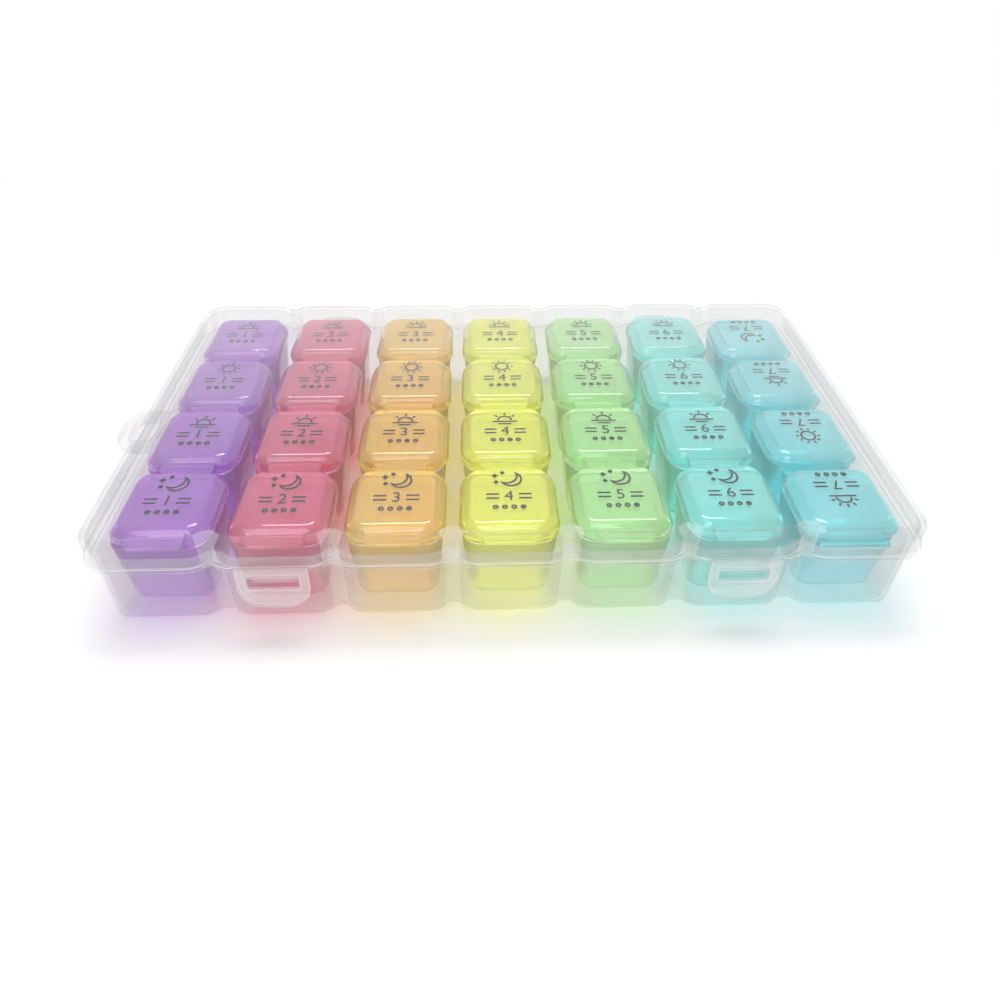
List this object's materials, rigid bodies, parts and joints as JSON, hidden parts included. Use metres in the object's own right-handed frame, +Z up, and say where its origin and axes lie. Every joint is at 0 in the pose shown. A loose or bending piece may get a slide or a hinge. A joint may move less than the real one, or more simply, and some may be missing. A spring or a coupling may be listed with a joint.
{
  "type": "weekly pill box",
  "caption": "Clear hinged case with a hang loop and front latches, holding coloured day trays of lidded cups for sorting pills by day and time.",
  "frame": {"origin": "middle of the case's underside, without the hang loop", "axes": "+X along the row of days with the hang loop at -X, +Y to the rear hinges, +Z up"},
  "size_m": [0.2235, 0.1263, 0.0305],
  "materials": {
    "clear_case": "clear, slightly milky polypropylene",
    "purple_plastic": "translucent coloured polypropylene",
    "pink_plastic": "translucent coloured polypropylene",
    "orange_plastic": "translucent coloured polypropylene",
    "yellow_plastic": "translucent coloured polypropylene",
    "green_plastic": "translucent coloured polypropylene",
    "aqua_plastic": "translucent coloured polypropylene",
    "blue_plastic": "translucent coloured polypropylene"
  },
  "bodies": {
    "case": {"case_base": "clear_case", "day_1_tray": "purple_plastic", "day_2_tray": "pink_plastic", "day_3_tray": "orange_plastic", "day_4_tray": "yellow_plastic", "day_5_tray": "green_plastic", "day_6_tray": "aqua_plastic", "day_7_tray": "blue_plastic"},
    "lid": {"case_lid": "clear_case"},
    "latch_left": {"latch_left": "clear_case"},
    "latch_right": {"latch_right": "clear_case"},
    "day_1_lid_morning": {"day_1_lid_morning": "purple_plastic"},
    "day_1_lid_noon": {"day_1_lid_noon": "purple_plastic"},
    "day_1_lid_evening": {"day_1_lid_evening": "purple_plastic"},
    "day_1_lid_night": {"day_1_lid_night": "purple_plastic"},
    "day_2_lid_morning": {"day_2_lid_morning": "pink_plastic"},
    "day_2_lid_noon": {"day_2_lid_noon": "pink_plastic"},
    "day_2_lid_evening": {"day_2_lid_evening": "pink_plastic"},
    "day_2_lid_night": {"day_2_lid_night": "pink_plastic"},
    "day_3_lid_morning": {"day_3_lid_morning": "orange_plastic"},
    "day_3_lid_noon": {"day_3_lid_noon": "orange_plastic"},
    "day_3_lid_evening": {"day_3_lid_evening": "orange_plastic"},
    "day_3_lid_night": {"day_3_lid_night": "orange_plastic"},
    "day_4_lid_morning": {"day_4_lid_morning": "yellow_plastic"},
    "day_4_lid_noon": {"day_4_lid_noon": "yellow_plastic"},
    "day_4_lid_evening": {"day_4_lid_evening": "yellow_plastic"},
    "day_4_lid_night": {"day_4_lid_night": "yellow_plastic"},
    "day_5_lid_morning": {"day_5_lid_morning": "green_plastic"},
    "day_5_lid_noon": {"day_5_lid_noon": "green_plastic"},
    "day_5_lid_evening": {"day_5_lid_evening": "green_plastic"},
    "day_5_lid_night": {"day_5_lid_night": "green_plastic"},
    "day_6_lid_morning": {"day_6_lid_morning": "aqua_plastic"},
    "day_6_lid_noon": {"day_6_lid_noon": "aqua_plastic"},
    "day_6_lid_evening": {"day_6_lid_evening": "aqua_plastic"},
    "day_6_lid_night": {"day_6_lid_night": "aqua_plastic"},
    "day_7_lid_morning": {"day_7_lid_morning": "blue_plastic"},
    "day_7_lid_noon": {"day_7_lid_noon": "blue_plastic"},
    "day_7_lid_evening": {"day_7_lid_evening": "blue_plastic"},
    "day_7_lid_night": {"day_7_lid_night": "blue_plastic"}
  },
  "joints": [
    {"name": "case_lid_hinge", "type": "hinge", "parent": "case", "child": "lid", "pos_m": [0, 0.0632, 0.0202], "axis": [-1, 0, 0], "range_deg": [0, 180]},
    {"name": "latch_left_hinge", "type": "hinge", "parent": "lid", "child": "latch_left", "pos_m": [-0.059, -0.0602, 0.0208], "axis": [-1, 0, 0], "range_deg": [0, 110]},
    {"name": "latch_right_hinge", "type": "hinge", "parent": "lid", "child": "latch_right", "pos_m": [0.059, -0.0602, 0.0208], "axis": [-1, 0, 0], "range_deg": [0, 110]},
    {"name": "day_1_lid_morning_hinge", "type": "hinge", "parent": "case", "child": "day_1_lid_morning", "pos_m": [-0.0885, 0.0543, 0.02315], "axis": [-1, 0, 0], "range_deg": [0, 90]},
    {"name": "day_1_lid_noon_hinge", "type": "hinge", "parent": "case", "child": "day_1_lid_noon", "pos_m": [-0.0885, 0.0263, 0.02315], "axis": [-1, 0, 0], "range_deg": [0, 90]},
    {"name": "day_1_lid_evening_hinge", "type": "hinge", "parent": "case", "child": "day_1_lid_evening", "pos_m": [-0.0885, -0.0017, 0.02315], "axis": [-1, 0, 0], "range_deg": [0, 90]},
    {"name": "day_1_lid_night_hinge", "type": "hinge", "parent": "case", "child": "day_1_lid_night", "pos_m": [-0.0885, -0.0297, 0.02315], "axis": [-1, 0, 0], "range_deg": [0, 90]},
    {"name": "day_2_lid_morning_hinge", "type": "hinge", "parent": "case", "child": "day_2_lid_morning", "pos_m": [-0.059, 0.0543, 0.02315], "axis": [-1, 0, 0], "range_deg": [0, 90]},
    {"name": "day_2_lid_noon_hinge", "type": "hinge", "parent": "case", "child": "day_2_lid_noon", "pos_m": [-0.059, 0.0263, 0.02315], "axis": [-1, 0, 0], "range_deg": [0, 90]},
    {"name": "day_2_lid_evening_hinge", "type": "hinge", "parent": "case", "child": "day_2_lid_evening", "pos_m": [-0.059, -0.0017, 0.02315], "axis": [-1, 0, 0], "range_deg": [0, 90]},
    {"name": "day_2_lid_night_hinge", "type": "hinge", "parent": "case", "child": "day_2_lid_night", "pos_m": [-0.059, -0.0297, 0.02315], "axis": [-1, 0, 0], "range_deg": [0, 90]},
    {"name": "day_3_lid_morning_hinge", "type": "hinge", "parent": "case", "child": "day_3_lid_morning", "pos_m": [-0.0295, 0.0543, 0.02315], "axis": [-1, 0, 0], "range_deg": [0, 90]},
    {"name": "day_3_lid_noon_hinge", "type": "hinge", "parent": "case", "child": "day_3_lid_noon", "pos_m": [-0.0295, 0.0263, 0.02315], "axis": [-1, 0, 0], "range_deg": [0, 90]},
    {"name": "day_3_lid_evening_hinge", "type": "hinge", "parent": "case", "child": "day_3_lid_evening", "pos_m": [-0.0295, -0.0017, 0.02315], "axis": [-1, 0, 0], "range_deg": [0, 90]},
    {"name": "day_3_lid_night_hinge", "type": "hinge", "parent": "case", "child": "day_3_lid_night", "pos_m": [-0.0295, -0.0297, 0.02315], "axis": [-1, 0, 0], "range_deg": [0, 90]},
    {"name": "day_4_lid_morning_hinge", "type": "hinge", "parent": "case", "child": "day_4_lid_morning", "pos_m": [0, 0.0543, 0.02315], "axis": [-1, 0, 0], "range_deg": [0, 90]},
    {"name": "day_4_lid_noon_hinge", "type": "hinge", "parent": "case", "child": "day_4_lid_noon", "pos_m": [0, 0.0263, 0.02315], "axis": [-1, 0, 0], "range_deg": [0, 90]},
    {"name": "day_4_lid_evening_hinge", "type": "hinge", "parent": "case", "child": "day_4_lid_evening", "pos_m": [0, -0.0017, 0.02315], "axis": [-1, 0, 0], "range_deg": [0, 90]},
    {"name": "day_4_lid_night_hinge", "type": "hinge", "parent": "case", "child": "day_4_lid_night", "pos_m": [0, -0.0297, 0.02315], "axis": [-1, 0, 0], "range_deg": [0, 90]},
    {"name": "day_5_lid_morning_hinge", "type": "hinge", "parent": "case", "child": "day_5_lid_morning", "pos_m": [0.0295, 0.0543, 0.02315], "axis": [-1, 0, 0], "range_deg": [0, 90]},
    {"name": "day_5_lid_noon_hinge", "type": "hinge", "parent": "case", "child": "day_5_lid_noon", "pos_m": [0.0295, 0.0263, 0.02315], "axis": [-1, 0, 0], "range_deg": [0, 90]},
    {"name": "day_5_lid_evening_hinge", "type": "hinge", "parent": "case", "child": "day_5_lid_evening", "pos_m": [0.0295, -0.0017, 0.02315], "axis": [-1, 0, 0], "range_deg": [0, 90]},
    {"name": "day_5_lid_night_hinge", "type": "hinge", "parent": "case", "child": "day_5_lid_night", "pos_m": [0.0295, -0.0297, 0.02315], "axis": [-1, 0, 0], "range_deg": [0, 90]},
    {"name": "day_6_lid_morning_hinge", "type": "hinge", "parent": "case", "child": "day_6_lid_morning", "pos_m": [0.059, 0.0543, 0.02315], "axis": [-1, 0, 0], "range_deg": [0, 90]},
    {"name": "day_6_lid_noon_hinge", "type": "hinge", "parent": "case", "child": "day_6_lid_noon", "pos_m": [0.059, 0.0263, 0.02315], "axis": [-1, 0, 0], "range_deg": [0, 90]},
    {"name": "day_6_lid_evening_hinge", "type": "hinge", "parent": "case", "child": "day_6_lid_evening", "pos_m": [0.059, -0.0017, 0.02315], "axis": [-1, 0, 0], "range_deg": [0, 90]},
    {"name": "day_6_lid_night_hinge", "type": "hinge", "parent": "case", "child": "day_6_lid_night", "pos_m": [0.059, -0.0297, 0.02315], "axis": [-1, 0, 0], "range_deg": [0, 90]},
    {"name": "day_7_lid_morning_hinge", "type": "hinge", "parent": "case", "child": "day_7_lid_morning", "pos_m": [0.0885, -0.0543, 0.02315], "axis": [1, 0, 0], "range_deg": [0, 90]},
    {"name": "day_7_lid_noon_hinge", "type": "hinge", "parent": "case", "child": "day_7_lid_noon", "pos_m": [0.0885, -0.0263, 0.02315], "axis": [1, 0, 0], "range_deg": [0, 90]},
    {"name": "day_7_lid_evening_hinge", "type": "hinge", "parent": "case", "child": "day_7_lid_evening", "pos_m": [0.0885, 0.0017, 0.02315], "axis": [1, 0, 0], "range_deg": [0, 90]},
    {"name": "day_7_lid_night_hinge", "type": "hinge", "parent": "case", "child": "day_7_lid_night", "pos_m": [0.0885, 0.0297, 0.02315], "axis": [1, 0, 0], "range_deg": [0, 90]}
  ],
  "couplings": [
    {"joint": "day_1_lid_morning_hinge", "follows": "case_lid_hinge", "ratio": 0.5},
    {"joint": "day_1_lid_noon_hinge", "follows": "case_lid_hinge", "ratio": 0.5},
    {"joint": "day_1_lid_evening_hinge", "follows": "case_lid_hinge", "ratio": 0.5},
    {"joint": "day_1_lid_night_hinge", "follows": "case_lid_hinge", "ratio": 0.5},
    {"joint": "day_2_lid_morning_hinge", "follows": "case_lid_hinge", "ratio": 0.5},
    {"joint": "day_2_lid_noon_hinge", "follows": "case_lid_hinge", "ratio": 0.5},
    {"joint": "day_2_lid_evening_hinge", "follows": "case_lid_hinge", "ratio": 0.5},
    {"joint": "day_2_lid_night_hinge", "follows": "case_lid_hinge", "ratio": 0.5},
    {"joint": "day_3_lid_morning_hinge", "follows": "case_lid_hinge", "ratio": 0.5},
    {"joint": "day_3_lid_noon_hinge", "follows": "case_lid_hinge", "ratio": 0.5},
    {"joint": "day_3_lid_evening_hinge", "follows": "case_lid_hinge", "ratio": 0.5},
    {"joint": "day_3_lid_night_hinge", "follows": "case_lid_hinge", "ratio": 0.5},
    {"joint": "day_4_lid_morning_hinge", "follows": "case_lid_hinge", "ratio": 0.5},
    {"joint": "day_4_lid_noon_hinge", "follows": "case_lid_hinge", "ratio": 0.5},
    {"joint": "day_4_lid_evening_hinge", "follows": "case_lid_hinge", "ratio": 0.5},
    {"joint": "day_4_lid_night_hinge", "follows": "case_lid_hinge", "ratio": 0.5},
    {"joint": "day_5_lid_morning_hinge", "follows": "case_lid_hinge", "ratio": 0.5},
    {"joint": "day_5_lid_noon_hinge", "follows": "case_lid_hinge", "ratio": 0.5},
    {"joint": "day_5_lid_evening_hinge", "follows": "case_lid_hinge", "ratio": 0.5},
    {"joint": "day_5_lid_night_hinge", "follows": "case_lid_hinge", "ratio": 0.5},
    {"joint": "day_6_lid_morning_hinge", "follows": "case_lid_hinge", "ratio": 0.5},
    {"joint": "day_6_lid_noon_hinge", "follows": "case_lid_hinge", "ratio": 0.5},
    {"joint": "day_6_lid_evening_hinge", "follows": "case_lid_hinge", "ratio": 0.5},
    {"joint": "day_6_lid_night_hinge", "follows": "case_lid_hinge", "ratio": 0.5},
    {"joint": "day_7_lid_morning_hinge", "follows": "case_lid_hinge", "ratio": 0.5},
    {"joint": "day_7_lid_noon_hinge", "follows": "case_lid_hinge", "ratio": 0.5},
    {"joint": "day_7_lid_evening_hinge", "follows": "case_lid_hinge", "ratio": 0.5},
    {"joint": "day_7_lid_night_hinge", "follows": "case_lid_hinge", "ratio": 0.5}
  ]
}
